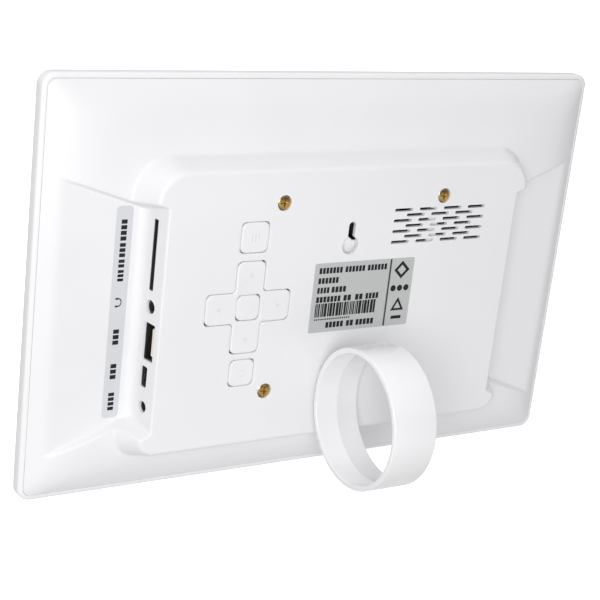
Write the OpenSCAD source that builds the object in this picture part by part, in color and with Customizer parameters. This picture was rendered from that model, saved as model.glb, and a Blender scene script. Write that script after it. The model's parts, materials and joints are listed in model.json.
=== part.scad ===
// Digital photo frame: a white 10-inch display frame that stands on a round swivel ring.
// Everything is drawn in panel axes: X across the frame, Y the depth behind the front face,
// Z the height up the panel. on_table() then leans the panel back and sets it on the table.

/* [Casing] */
// Width of the frame across the bezel
frame_w = 262; // [260:0.5:266]
// Height of the frame along the panel
frame_h = 170.5; // [170:0.5:174]
// Thickness of the bezel at its edge
rim_t = 6.4; // [6.2:0.1:7]
// Corner radius of the bezel
corner_r = 5.5; // [4:0.5:7]
// Width of the bezel edge left visible around the rear cover
seam_inset = 2.2; // [2:0.1:2.6]
// Wall thickness of the mouldings
wall = 2; // [1.8:0.1:2.2]
// Backward lean of the panel on its stand, in degrees
lean = 12; // [10:0.5:15]

/* [Display] */
// Width of the display window
window_w = 223; // [218:0.5:224]
// Height of the display window
window_h = 125.5; // [122:0.5:126]
// Thickness of the display module
display_t = 5.1; // [4.6:0.1:5.1]

/* [Rear body] */
// Depth of the flat rear face behind the front face
body_n = 24.5; // [24:0.1:25]
// Half width of the rear face at its corners
body_half = 89; // [87:0.5:91]
// Height of the lower edge of the rear face
body_low = 21.3; // [20:0.1:22]
// Height of the upper edge of the rear face
body_high = 136; // [134:0.5:138]
// Depth of the two side recess floors
floor_n = 9.5; // [9.4:0.1:10]
// Half width of the rear face between the side recesses
recess_half = 84.5; // [84:0.1:85]

/* [Stand] */
// Outer radius of the stand ring
ring_r = 29; // [27:0.5:31]
// Width of the stand ring
ring_w = 20.5; // [18:0.5:24]
// Wall thickness of the stand ring
ring_wall = 2.2; // [2:0.1:2.6]
// Gap that the swivel pad keeps between ring and rear face
pad_gap = 1.5; // [1:0.1:2]

/* [Keys] */
// Gap around each key
key_gap = 0.35; // [0.3:0.05:0.45]
// Height of the key tops above the rear face
key_proud = 0.2; // [0:0.05:0.4]
// Press travel left above each switch
key_travel = 0.5; // [0.3:0.05:0.5]

/* [Hidden] */
$fn = 64;

mid_v = frame_h / 2;             // height of the display's centre
seam_r = corner_r - seam_inset;  // corner radius of the rear cover
edge_r = 1.3;                    // rounding of the bezel's outer edges
skirt_n = 3;                     // where the cover's skirt ends inside the bezel
side_reach = 40;                 // width of the domed border at the sides
top_reach = 30;                  // and at the top and bottom
shelf_n = 14;                    // depth of the cover beside the raised body
inner_n = body_n - wall;         // inside of the rear face
side_draft = 28;                 // draft of the raised body's side and top walls
foot_draft = 20;                 // draft of its bottom wall
port_draft = 9.5;                // draft of the two recess walls
far = 400;                       // larger than anything here
hair = 0.01;

// Case screws, as [x, v]
screws = [[33.8, 122.7], [-44.8, 122.7], [33.8, 43.4]];
screw_seat = inner_n - 0.1;      // depth of the counterbore's seat
standoff_top = 20.5;

// Keys: column of five around [key_x, arrow_v]
key_x = 45.8;
arrow_v = 80.3;
menu_v = 109.3;
exit_v = 52.6;
menu_hole = 12.8;
exit_hole = 11.5;
arrow_span = 38.8;
arrow_arm = 13.2;
ok_hole = 10.9;
hole_r = 1.8;                    // corner radius of the key holes
key_r = 2.2;                     // corner radius of the keys
key_flange_n = 20.9;             // front face of the square keys' flanges
rocker_n = 21.6;                 // front face of the four-way cap
rocker_plate_n = 21.15;
ok_flange_n = 19;
arrow_switch = 14;               // distance of the arrow switches from the middle
arrow_plate = 24;                // square plate that keeps the arrow key in
key_top = body_n + key_proud;
key_board_n = 16.6;              // front face of the key board
key_board_t = 0.8;
switch_h = 0.8;
switch_top = key_board_n + key_board_t + switch_h;
plunger_r = 1.2;
plunger_end = switch_top + key_travel + 0.05;
flange_n = inner_n - 0.3;        // top of the key flanges, just under the cover

// Ports in the +X recess wall
board_n = 13.6;                  // front face of the main board
board_t = 1.2;
board_back = board_n + board_t;
board_edge = 83.2;
card_v = 102.3;
card_n = 17;
phone_v = 81.4;
phone_n = 17.5;
usb_v = 67.2;
usb_n = 18.2;
mini_v = 52.4;
mini_n = 16.9;
dc_v = 39.9;
dc_n = 17.6;
mouth_x = 84.6;                  // where the socket mouths end
socket_x = 83;                   // where the socket bodies end, inside the wall

// Speaker grille
grille_x = -43.8;
grille_v = 110.5;
slot_l = 9.3;
slot_t = 1.3;
slot_pitch = 12.65;
row_pitch = 2.3;
rib_x = -42.2;

// Keyhole for a wall hook
hook_v = 103.5;
hook_r = 3.9;
hook_slot_r = 1.7;
hook_slot_v = 111.7;
hook_shelf_n = 20.4;             // shelf that a hook's head slides on
pocket_t = 1.2;                  // wall of the pocket round it
pocket_half = 5.2;

// Stand swivel
ring_n = body_n + pad_gap + ring_r;
ring_v = (ring_r + (ring_n - rim_t + edge_r) * sin(lean)) / cos(lean);
boss_r = 6;
boss_end = 19.6;
collar_n = 20.5;

// The leaning panel rests on the lower rear edge of its bezel and on the ring
drop = (rim_t - edge_r) * sin(lean);
front_y = edge_r * sin(lean);
back_y = ring_n * cos(lean) + ring_v * sin(lean) + ring_r;

module on_table() translate([0, -(front_y + back_y) / 2, drop]) rotate([-lean, 0, 0]) children();

// Extrudes an [x, v] outline from depth n0 to depth n1
module slab(n0, n1) translate([0, n1, 0]) rotate([90, 0, 0]) linear_extrude(n1 - n0) children();

// Extrudes an [n, v] outline along X from x0 to x1
module along_x(x0, x1) translate([x0, 0, 0]) rotate([90, 0, 90]) linear_extrude(x1 - x0) children();

module rod(x, v, n0, n1, r) slab(n0, n1) translate([x, v]) circle(r);

module rod_x(n, v, x0, x1, r) along_x(x0, x1) translate([n, v]) circle(r);

module box(x0, x1, n0, n1, v0, v1) translate([x0, n0, v0]) cube([x1 - x0, n1 - n0, v1 - v0]);

module rounded(x0, x1, v0, v1, r) {
    translate([x0 + r, v0]) square([x1 - x0 - 2 * r, v1 - v0]);
    translate([x0, v0 + r]) square([x1 - x0, v1 - v0 - 2 * r]);
    for (x = [x0 + r, x1 - r], v = [v0 + r, v1 - r]) translate([x, v]) circle(r);
}

module rounded_square(x, v, side, r) rounded(x - side / 2, x + side / 2, v - side / 2, v + side / 2, r);

module case_outline(inset, r) rounded(-frame_w / 2 + inset, frame_w / 2 - inset, inset, frame_h - inset, r);

module cross_outline(span, arm, r) {
    rounded(key_x - span / 2, key_x + span / 2, arrow_v - arm / 2, arrow_v + arm / 2, r);
    rounded(key_x - arm / 2, key_x + arm / 2, arrow_v - span / 2, arrow_v + span / 2, r);
}

/* ---- Bezel and display ---- */

// Cross section of the bezel with its rounded outer edges
edge = [for (a = [0:30:90]) [edge_r * (1 - sin(a)), edge_r * (1 - cos(a))]];
function edge_section(lo, hi) = concat(
    [for (i = [0:3]) [lo + edge[i][0], edge[i][1]]],
    [for (i = [3:-1:0]) [lo + edge[i][0], rim_t - edge[i][1]]],
    [for (i = [0:3]) [hi - edge[i][0], rim_t - edge[i][1]]],
    [for (i = [3:-1:0]) [hi - edge[i][0], edge[i][1]]]);

boss_x = [-44.8, 33.8];
boss_v = [9.6, frame_h - 9.6];

ear_n = 4;                       // top of the bezel's screw bosses

module front_bezel() color("white") on_table() {
    difference() {
        intersection() {
            slab(0, rim_t) case_outline(0, corner_r);
            translate([0, 0, -1]) linear_extrude(far) polygon(edge_section(-frame_w / 2, frame_w / 2));
            along_x(-far / 2, far / 2) polygon([for (p = edge_section(0, frame_h)) [p[1], p[0]]]);
        }
        slab(wall, rim_t + 1) case_outline(seam_inset - 0.1, seam_r + 0.1);
        slab(-1, wall + 1) rounded(-window_w / 2, window_w / 2, mid_v - window_h / 2, mid_v + window_h / 2, 0.6);
    }
    for (x = boss_x, v = boss_v) difference() {
        rod(x, v, wall - hair, ear_n, 2.8);
        rod(x, v, wall + 0.4, 5, 1.1);
    }
}

glass_w = 229;
glass_h = 132;
tray_w = 235;
tray_h = 142;

module lcd_glass() color("black") on_table()
    slab(wall, wall + 1.4) rounded(-glass_w / 2, glass_w / 2, mid_v - glass_h / 2, mid_v + glass_h / 2, 0.5);

module lcd_tray() color("silver") on_table() difference() {
    slab(wall, wall + display_t) rounded(-tray_w / 2, tray_w / 2, mid_v - tray_h / 2, mid_v + tray_h / 2, 1);
    slab(wall - 1, wall + display_t - 0.6) square_at(0, mid_v, glass_w + 0.2, glass_h + 0.2);
}

module light_guide() color("aliceblue") on_table()
    slab(wall + 1.5, wall + display_t - 0.7) square_at(0, mid_v, glass_w - 0.4, glass_h - 0.4);

module square_at(x, v, w, h) translate([x - w / 2, v - h / 2]) square([w, h]);

strap_n = wall + display_t + 0.1;
strap_t = 1;
strap_w = 12;
strap_end = 12.6;                // where the strap steps down to its ears
ear_end = 6.2;
ear_t = 0.8;

// Two steel straps hold the display in the bezel: a flat back with a stepped ear at each end
module lcd_straps() color("gainsboro") on_table() for (x = boss_x) difference() {
    union() {
        box(x - strap_w / 2, x + strap_w / 2, strap_n, strap_n + strap_t, strap_end, frame_h - strap_end);
        for (v = [strap_end, frame_h - strap_end - strap_t])
            box(x - strap_w / 2, x + strap_w / 2, ear_n, strap_n + hair, v, v + strap_t);
        box(x - 5, x + 5, ear_n, ear_n + ear_t, ear_end, strap_end + hair);
        box(x - 5, x + 5, ear_n, ear_n + ear_t, frame_h - strap_end - hair, frame_h - ear_end);
    }
    for (v = boss_v) rod(x, v, 3, 6, 1.3);
    for (s = screws) rod(s[0], s[1], strap_n - 1, strap_n + 2, 1.6);
}

module screw_at(x, v, seat, head_r, head_t, shank_r, shank_l) {
    rod(x, v, seat, seat + head_t, head_r);
    rod(x, v, seat - shank_l, seat + hair, shank_r);
}

module strap_screws() color("silver") on_table()
    for (x = boss_x, v = boss_v) difference() {
        screw_at(x, v, ear_n + ear_t, 1.9, 0.9, 1.05, 2.2);
        cross_slot(x, v, ear_n + 1.3, ear_n + 2, 0.5, 2.2);
    }

module cross_slot(x, v, n0, n1, t, l) slab(n0, n1) {
    square_at(x, v, t, l);
    square_at(x, v, l, t);
}

module case_standoffs() color("goldenrod") on_table() for (s = screws) difference() {
    rod(s[0], s[1], strap_n + strap_t, standoff_top, 3);
    rod(s[0], s[1], 12, standoff_top + 1, 1.5);
}

// Brass Phillips screws that hold the rear cover to the standoffs
module case_screws() color("goldenrod") on_table() for (s = screws) difference() {
    union() {
        rod(s[0], s[1], screw_seat, screw_seat + 1, 3);
        rod(s[0], s[1], screw_seat + 1 - hair, screw_seat + 1.8, 2.5);
        rod(s[0], s[1], 13, screw_seat + hair, 1.45);
    }
    cross_slot(s[0], s[1], screw_seat + 0.8, body_n, 0.7, 3.4);
}

/* ---- Rear cover ---- */

// Depth of the domed border at distance d from the seam, level with the shelf at reach
function border(d, reach) = rim_t + (shelf_n - rim_t) * (1 - pow(1 - d / reach, 3));

// One side of the border, from the seam inwards, as [distance, depth]
function border_side(reach) = [for (t = [0, 0.08, 0.17, 0.27, 0.38, 0.5, 0.64, 1]) [t * reach, border(t * reach, reach)]];

// Closed outline across the cover: a border on each side, level in between
function cover_section(lo, hi, reach, g) = let (side = border_side(reach)) concat(
    [[hi - g, 0], [lo + g, 0]],
    [for (p = side) [lo + g + p[0], p[1] - g]],
    [for (i = [len(side) - 1:-1:0]) [hi - g - side[i][0], side[i][1] - g]]);

module field(g) intersection() {
    slab(g > 0 ? skirt_n - 1 : skirt_n, far / 4) case_outline(seam_inset + g, max(seam_r - g, 0.5));
    translate([0, 0, -1]) linear_extrude(far)
        polygon(cover_section(-frame_w / 2 + seam_inset, frame_w / 2 - seam_inset, side_reach, g));
    along_x(-far / 2, far / 2) polygon([
        for (p = cover_section(seam_inset, frame_h - seam_inset, top_reach, g)) [p[1], p[0]]]);
}

module body_outline(grow, foot, r_low, r_high) {
    half = body_half + grow;
    low = body_low - foot;
    high = body_high + grow;
    rounded(-half, half, low, low + 4 * r_low, r_low);
    rounded(-half, half, low + 2 * r_low, high, r_high);
}

// The raised body, tapering from its foot inside the border to the flat rear face
module body(g) {
    foot_n = 8;
    rise = body_n - foot_n;
    hull() {
        slab(body_n - g - hair, body_n - g) body_outline(-g, -g, 6, 12);
        slab(foot_n - g, foot_n - g + hair)
            body_outline(rise * tan(side_draft) - g, rise * tan(foot_draft) - g, 8, 14);
    }
}

// A side recess on +X, bounded by its floor, the port wall and two slanted folds
module recess(g) intersection() {
    box(0, far / 2, floor_n - g, far / 4, 0, frame_h);
    translate([recess_half, body_n, 0]) rotate([0, 0, port_draft])
        translate([-g, -far, 0]) cube([far, 2 * far, frame_h]);
    translate([88, 13, 32.4]) rotate([0, 21.5, 0]) rotate([-16, 0, 0])
        translate([-far, -far, -g]) cube([2 * far, 2 * far, far]);
    translate([88, 13, 120.3]) rotate([0, -19.3, 0]) rotate([16, 0, 0])
        translate([-far, -far, g - far]) cube([2 * far, 2 * far, far]);
}

module cover_form(g) difference() {
    union() {
        field(g);
        body(g);
    }
    recess(g);
    mirror([1, 0, 0]) recess(g);
}

module grille_slots() for (row = [0:6], i = [0:3]) {
    shift = row % 2 == 0 ? 0 : 0.5;
    if (row % 2 == 0 || i < 3)
        rounded(grille_x + (i - 1.5 + shift) * slot_pitch - slot_l / 2,
            grille_x + (i - 1.5 + shift) * slot_pitch + slot_l / 2,
            grille_v + (3 - row) * row_pitch - slot_t / 2,
            grille_v + (3 - row) * row_pitch + slot_t / 2, slot_t / 2 - hair);
}

module cover_cuts() {
    through = body_n + 1;
    slab(inner_n - 1, through) {
        rounded_square(key_x, menu_v, menu_hole, hole_r);
        rounded_square(key_x, exit_v, exit_hole, hole_r);
        cross_outline(arrow_span, arrow_arm, hole_r);
        grille_slots();
        square_at(0, (hook_v + hook_slot_v) / 2, 2 * hook_slot_r, hook_slot_v - hook_v);
    }
    rod(0, hook_v, inner_n - 1, through, hook_r);
    rod(0, hook_slot_v, inner_n - 1, through, hook_slot_r);
    for (s = screws) {
        rod(s[0], s[1], screw_seat, through, 3.2);
        rod(s[0], s[1], standoff_top - 1, through, 1.7);
    }
    rod(0, ring_v, collar_n - 1, through, boss_r + 0.05);
    along_x(recess_half - 4, recess_half + 5) {
        square_at(card_n, card_v, 2.6, 28.6);
        square_at(usb_n, usb_v, 6.6, 15.4);
        square_at(mini_n, mini_v, 4.2, 8.8);
    }
    rod_x(phone_n, phone_v, recess_half - 4, recess_half + 5, 2.8);
    rod_x(dc_n, dc_v, recess_half - 4, recess_half + 5, 2.4);
}

board_bosses = [[50, 34.5], [78, 124], [46, 124.5]];
key_board_bosses = [[32.6, 97.2], [59, 64]];

module boss(p, n0, r, hole_r) difference() {
    rod(p[0], p[1], n0, inner_n + hair, r);
    rod(p[0], p[1], n0 - 1, inner_n - 0.8, hole_r);
}

module rear_cover() color("white") on_table() {
    difference() {
        union() {
            difference() {
                cover_form(0);
                cover_form(wall);
            }
            for (s = screws) rod(s[0], s[1], standoff_top, inner_n + hair, 4.8);
            rod(0, ring_v, collar_n, inner_n + hair, 9.5);
        }
        cover_cuts();
    }
    for (p = board_bosses) boss(p, board_back, 2.5, 1.05);
    for (p = key_board_bosses) boss(p, key_board_n + key_board_t, 1.9, 0.8);
    hook_pocket();
    grille_rib();
}

// Pocket behind the keyhole: its shelf stops short of the slot, where the hook's shank slides up
module hook_pocket() difference() {
    slab(hook_shelf_n - pocket_t, inner_n + hair) pocket_outline(pocket_t);
    slab(hook_shelf_n, inner_n + 1) pocket_outline(0);
    slab(hook_shelf_n - pocket_t - 1, hook_shelf_n + hair) polygon([
        [-pocket_half, hook_v + 0.9], [-3.2, hook_v + 0.9], [0.4, hook_v + 3.7], [pocket_half, hook_v + 3.7],
        [pocket_half, hook_slot_v + 2.2], [-pocket_half, hook_slot_v + 2.2]]);
}

module pocket_outline(grow) translate([-pocket_half - grow, hook_v - pocket_half - grow])
    square([2 * (pocket_half + grow), hook_slot_v + 2.2 - hook_v + pocket_half + 2 * grow]);

// Stiffening rib that crosses behind the grille, left open where the speaker's gasket sits
module grille_rib() difference() {
    box(rib_x - 2.3, rib_x + 2.3, inner_n - 1, inner_n + hair, 99.2, 118.9);
    slab(inner_n - 2, inner_n + 1) difference() {
        speaker_oval(gasket_w + 0.4, gasket_h + 0.4);
        speaker_oval(gasket_w - 4.4, gasket_h - 4.4);
    }
}

/* ---- Electronics ---- */

module main_board() color("darkgreen") on_table() difference() {
    slab(board_n, board_back) rounded(40, board_edge, 29, 130, 1.5);
    for (p = board_bosses) rod(p[0], p[1], board_n - 1, board_back + 1, 1.3);
}

module board_screws() color("silver") on_table() for (p = board_bosses) {
    rod(p[0], p[1], board_n - 1, board_n, 2.1);
    rod(p[0], p[1], board_n - hair, board_back + 4, 1);
}

module main_processor() color("dimgray") on_table() box(48, 64, board_n - 1.4, board_n, 48, 64);

module memory_chips() color("dimgray") on_table() for (v = [84, 96]) box(52, 64, board_n - 1.1, board_n, v, v + 8);

module power_coil() color("gray") on_table() box(68, 76, board_n - 4, board_n, 33, 41);

module capacitors() color("lightsteelblue") on_table() for (v = [46.5, 54.5, 110])
    rod(76, v, board_n - 5, board_n, 3);

module ribbon_connector() color("ivory") on_table() box(50, 74, board_n - 2.2, board_n, 70, 75);

// Flat cable that leaves the display, lies on it, and rises to its connector
module lcd_ribbon() color("peru") on_table() along_x(53, 71) polygon([
    [strap_n, 38], [strap_n, 58], [board_n - 1.4, 70], [board_n - 1.1, 70], [strap_n + 0.3, 57.7],
    [strap_n + 0.3, 38]]);

module card_socket() color("black") on_table() difference() {
    box(65.4, socket_x, board_back, card_n + 2, card_v - 14, card_v + 14);
    box(66.4, socket_x + 1, card_n - 1.2, card_n + 1.2, card_v - 12.6, card_v + 12.6);
}

module headphone_jack() color("black") on_table() difference() {
    union() {
        box(69.5, socket_x, board_back, phone_n + 2.9, phone_v - 3.2, phone_v + 3.2);
        rod_x(phone_n, phone_v, socket_x - hair, mouth_x + 0.3, 2.65);
    }
    rod_x(phone_n, phone_v, 70.5, mouth_x + 1, 1.8);
}

module usb_socket() color("silver") on_table() difference() {
    box(71, mouth_x, usb_n - 3.1, usb_n + 3, usb_v - 7.3, usb_v + 7.3);
    box(72, mouth_x + 1, usb_n - 2.7, usb_n + 2.6, usb_v - 6.9, usb_v + 6.9);
}

module usb_tongue() color("ivory") on_table()
    box(72, mouth_x - 0.6, usb_n + 0.5, usb_n + 2.3, usb_v - 5.6, usb_v + 5.6);

module mini_usb_socket() color("silver") on_table() difference() {
    box(75, mouth_x, mini_n - 1.9, mini_n + 1.8, mini_v - 4, mini_v + 4);
    box(76, mouth_x + 1, mini_n - 1.55, mini_n + 1.45, mini_v - 3.6, mini_v + 3.6);
}

module mini_usb_tongue() color("black") on_table()
    box(76, mouth_x - 0.8, mini_n - 0.4, mini_n + 0.5, mini_v - 2.6, mini_v + 2.6);

module dc_jack() color("black") on_table() difference() {
    union() {
        box(71, socket_x, board_back, dc_n + 2.7, dc_v - 4, dc_v + 4);
        rod_x(dc_n, dc_v, socket_x - hair, mouth_x, 2.25);
    }
    rod_x(dc_n, dc_v, 74, mouth_x + 1, 1.8);
}

module dc_pin() color("silver") on_table() rod_x(dc_n, dc_v, 74, mouth_x - 0.8, 0.55);

/* ---- Speaker ---- */

speaker_v = 106.9;
speaker_n = 17.4;                // bottom of the basket
speaker_back = 21.3;             // its rim, under the gasket
gasket_w = 42;
gasket_h = 20;
terminal_x = -27;
wire_n = 16;
wire_r = 0.5;

module speaker_oval(w, h) rounded(grille_x - w / 2, grille_x + w / 2, speaker_v - h / 2, speaker_v + h / 2, h / 2 - 0.2);

module speaker_basket() color("dimgray") on_table() {
    difference() {
        slab(speaker_n, speaker_back) speaker_oval(gasket_w, gasket_h);
        slab(speaker_n + 0.8, speaker_back + 1) speaker_oval(gasket_w - 3, gasket_h - 3);
    }
    box(terminal_x - 4, terminal_x, 15, speaker_n + hair, 99.6, 103.4);
}

module speaker_cone() color("black") on_table() slab(speaker_n + 2, speaker_n + 2.8) speaker_oval(gasket_w - 3.2, gasket_h - 3.2);

module speaker_magnet() color("gray") on_table() rod(grille_x, speaker_v, 12, speaker_n, 7);

module speaker_gasket() color("black") on_table() difference() {
    slab(speaker_back, inner_n) speaker_oval(gasket_w, gasket_h);
    slab(speaker_back - 1, inner_n + 1) speaker_oval(gasket_w - 4, gasket_h - 4);
}

// Two wires from the speaker's terminal to the main board, where they turn down into their joints
module speaker_wires() color("crimson") on_table() for (v = [100.6, 102.4]) {
    rod_x(wire_n, v, terminal_x, 42, wire_r);
    rod(41.5, v, board_back, wire_n, wire_r);
}

/* ---- Keys ---- */

module key_board() color("darkgreen") on_table() difference() {
    slab(key_board_n, key_board_n + key_board_t) rounded(27.6, 64, 46.9, 117, 1);
    for (p = key_board_bosses) rod(p[0], p[1], 15, 20, 1.1);
}

module key_board_screws() color("silver") on_table() for (p = key_board_bosses) {
    rod(p[0], p[1], key_board_n - 0.7, key_board_n, 1.6);
    rod(p[0], p[1], key_board_n - hair, key_board_n + 3.6, 0.75);
}

module key_ribbon() color("gainsboro") on_table() translate([0, 0, 104]) linear_extrude(8) polygon([
    [58, key_board_n], [63, key_board_n], [64.4, board_back + 0.3], [65.2, board_back + 0.3],
    [65.2, board_back], [64.25, board_back], [62.87, key_board_n - 0.3], [58, key_board_n - 0.3]]);

module tact_switch(x, v) {
    slab(key_board_n + key_board_t, switch_top - 0.2) rounded_square(x, v, 4.4, 0.4);
    rod(x, v, switch_top - 0.2 - hair, switch_top, 1.3);
}

module tact_switches() color("silver") on_table() {
    for (v = [menu_v, arrow_v + arrow_switch, arrow_v, arrow_v - arrow_switch, exit_v]) tact_switch(key_x, v);
    for (x = [-arrow_switch, arrow_switch]) tact_switch(key_x + x, arrow_v);
}

module square_key(v, hole) {
    slab(flange_n - hair, key_top) rounded_square(key_x, v, hole - 2 * key_gap, key_r);
    slab(key_flange_n, flange_n) rounded_square(key_x, v, hole + 1.6, key_r);
    rod(key_x, v, plunger_end, key_flange_n + hair, plunger_r);
}

module menu_key() color("whitesmoke") on_table() square_key(menu_v, menu_hole);

module exit_key() color("whitesmoke") on_table() square_key(exit_v, exit_hole);

// Four-way rocker: a cross with a square window for the key in its middle
module arrow_key() color("whitesmoke") on_table() {
    difference() {
        union() {
            slab(rocker_n, key_top) cross_outline(arrow_span - 2 * key_gap, arrow_arm - 2 * key_gap, key_r);
            slab(rocker_plate_n, rocker_n + 0.15) rounded_square(key_x, arrow_v, arrow_plate, 1.5);
        }
        slab(rocker_plate_n - 1, key_top + 1) rounded_square(key_x, arrow_v, ok_hole, hole_r);
    }
    for (d = [-arrow_switch, arrow_switch]) {
        rod(key_x + d, arrow_v, switch_top + 0.45, rocker_n + 0.2, plunger_r);
        rod(key_x, arrow_v + d, switch_top + 0.45, rocker_n + 0.2, plunger_r);
    }
}

// Square frame under the rocker that lets it tip both ways
module arrow_gimbal() color("silver") on_table() difference() {
    slab(20.3, 20.8) rounded_square(key_x, arrow_v, 17, 1);
    slab(19, 22) rounded_square(key_x, arrow_v, 13.5, 0.6);
}

module ok_key() color("whitesmoke") on_table() {
    slab(ok_flange_n + 0.4, key_top) rounded_square(key_x, arrow_v, ok_hole - 2 * key_gap, key_r);
    slab(ok_flange_n, ok_flange_n + 0.8) rounded_square(key_x, arrow_v, ok_hole + 1.7, 1.5);
    rod(key_x, arrow_v, plunger_end, ok_flange_n + hair, plunger_r);
}

/* ---- Labels ---- */

module rating_label() color("silver") on_table()
    slab(body_n, body_n + 0.15) rounded(-33.6, 16, 66.8, 96.6, 0.8);

module port_label() color("lightsteelblue") on_table()
    slab(floor_n, floor_n + 0.15) rounded(92, 99, 33.2, 120.2, 1.6);

/* ---- Swivel ring stand ---- */

module ring_profile(x0, x1, inner) along_x(x0, x1) translate([ring_n, ring_v]) difference() {
    circle(ring_r);
    circle(inner);
}

module stand_ring() color("white") on_table() difference() {
    union() {
        translate([0, ring_n, ring_v]) rotate([0, 90, 0]) rotate_extrude($fn = 128)
            polygon(ring_section());
        rod(0, ring_v, body_n + 0.3, body_n + pad_gap + 1.4, 7.6);
        rod(0, ring_v, boss_end, body_n + 0.3 + hair, boss_r);
    }
    rod(0, ring_v, boss_end - 1, body_n + pad_gap - 1, 1.5);
}

// Section of the ring wall as [radius, x], with softened edges
function ring_section() = let (a = ring_r - ring_wall, b = ring_r, h = ring_w / 2, c = 0.5, d = 0.15) [
    [a + c, -h], [b - c, -h], [b - d, d - h], [b, c - h], [b, h - c], [b - d, h - d], [b - c, h],
    [a + c, h], [a + d, h - d], [a, h - c], [a, c - h], [a + d, d - h]];

module swivel_wave_washer() color("silver") on_table() difference() {
    rod(0, ring_v, boss_end, boss_end + 0.5, 8.8);
    rod(0, ring_v, boss_end - 1, boss_end + 1, boss_r + 0.2);
}

module swivel_washer() color("silver") on_table() difference() {
    rod(0, ring_v, boss_end - 1.2, boss_end, 9);
    rod(0, ring_v, boss_end - 2, boss_end + 1, 1.6);
}

module swivel_screw() color("silver") on_table() difference() {
    union() {
        rod(0, ring_v, boss_end - 2.8, boss_end - 1.2, 3.2);
        rod(0, ring_v, boss_end - 1.2 - hair, body_n, 1.45);
    }
    cross_slot(0, ring_v, boss_end - 4, boss_end - 2.1, 0.8, 3.4);
}

front_bezel();
lcd_glass();
light_guide();
lcd_tray();
lcd_straps();
strap_screws();
case_standoffs();
case_screws();
rear_cover();
main_board();
board_screws();
main_processor();
memory_chips();
power_coil();
capacitors();
ribbon_connector();
lcd_ribbon();
card_socket();
headphone_jack();
usb_socket();
usb_tongue();
mini_usb_socket();
mini_usb_tongue();
dc_jack();
dc_pin();
speaker_basket();
speaker_cone();
speaker_magnet();
speaker_gasket();
speaker_wires();
key_board();
key_board_screws();
key_ribbon();
tact_switches();
menu_key();
arrow_key();
arrow_gimbal();
ok_key();
exit_key();
rating_label();
port_label();
stand_ring();
swivel_wave_washer();
swivel_washer();
swivel_screw();
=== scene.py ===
import json
import math

import bmesh
import bpy
import numpy as np
from mathutils import Matrix, Vector


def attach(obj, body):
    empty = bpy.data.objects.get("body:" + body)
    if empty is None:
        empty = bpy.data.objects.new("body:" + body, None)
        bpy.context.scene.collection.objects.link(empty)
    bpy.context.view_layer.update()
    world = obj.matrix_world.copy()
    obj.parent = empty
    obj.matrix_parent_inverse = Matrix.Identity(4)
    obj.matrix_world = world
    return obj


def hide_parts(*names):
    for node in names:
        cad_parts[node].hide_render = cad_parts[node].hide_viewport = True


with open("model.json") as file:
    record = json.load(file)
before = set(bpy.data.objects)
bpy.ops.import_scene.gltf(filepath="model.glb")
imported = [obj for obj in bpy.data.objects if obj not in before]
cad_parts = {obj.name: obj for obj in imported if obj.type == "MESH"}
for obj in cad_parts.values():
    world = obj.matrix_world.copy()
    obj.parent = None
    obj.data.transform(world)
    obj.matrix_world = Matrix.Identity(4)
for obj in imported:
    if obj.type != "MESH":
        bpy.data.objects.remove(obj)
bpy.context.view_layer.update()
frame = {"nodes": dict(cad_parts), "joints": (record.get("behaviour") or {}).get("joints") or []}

MM = 0.001

# ---------------------------------------------------------------------------
# Panel axes: X across the frame, N out of its back, V up the leaning panel.
# Pieces are drawn in millimetres on these axes and then placed by PANEL.
# ---------------------------------------------------------------------------

joints = {joint["name"]: joint for joint in frame["joints"]}
ACROSS = Vector((1, 0, 0))
OUT = Vector(joints["stand_swivel"]["axis"]).normalized()
UP = ACROSS.cross(OUT)


def along(node, axis):
    """Lowest and highest millimetre of a CAD node along an axis."""
    reach = [vertex.co.dot(axis) / MM for vertex in frame["nodes"][node].data.vertices]
    return min(reach), max(reach)


FRONT = along("front_bezel", OUT)[0]
FOOT = along("front_bezel", UP)[0]
PANEL = Matrix((
    (MM, 0, 0, 0),
    (0, OUT.y * MM, UP.y * MM, (FRONT * OUT.y + FOOT * UP.y) * MM),
    (0, OUT.z * MM, UP.z * MM, (FRONT * OUT.z + FOOT * UP.z) * MM),
    (0, 0, 0, 1)))
TO_PANEL = PANEL.inverted()


def span(node):
    """Lowest and highest corner of a CAD node on the panel axes, in millimetres."""
    points = np.array([TO_PANEL @ vertex.co for vertex in frame["nodes"][node].data.vertices])
    return points.min(0), points.max(0)


def middle(node):
    low, high = span(node)
    return (low + high) / 2


# Sizes of the casing, in millimetres
BEZEL_HIGH = span("front_bezel")[1]
HALF_W = BEZEL_HIGH[0]
HEIGHT = BEZEL_HIGH[2]
RIM = BEZEL_HIGH[1]
SEAM_HALF = span("rear_cover")[1][0]
SEAM = HALF_W - SEAM_HALF
BEZEL_CORNER = 5.5
WALL = 2.0
BACK = span("rating_label")[0][1]
SHELF = 14.0
RECESS_FLOOR = span("port_label")[0][1]
SWIVEL = TO_PANEL @ Vector(joints["stand_swivel"]["pos_m"])

# ---------------------------------------------------------------------------
# Mesh helpers
# ---------------------------------------------------------------------------


def new_object(name, points, faces, smooth_angle=35):
    """A mesh object from panel points in millimetres."""
    mesh = bpy.data.meshes.new(name)
    mesh.from_pydata([tuple(p) for p in points], [], [tuple(f) for f in faces])
    mesh.transform(PANEL)
    mesh.update()
    obj = bpy.data.objects.new(name, mesh)
    bpy.context.scene.collection.objects.link(obj)
    shade(obj, smooth_angle)
    return obj


def shade(obj, smooth_angle=35):
    mesh = obj.data
    mesh.shade_smooth()
    mesh.set_sharp_from_angle(angle=math.radians(smooth_angle))


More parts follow.
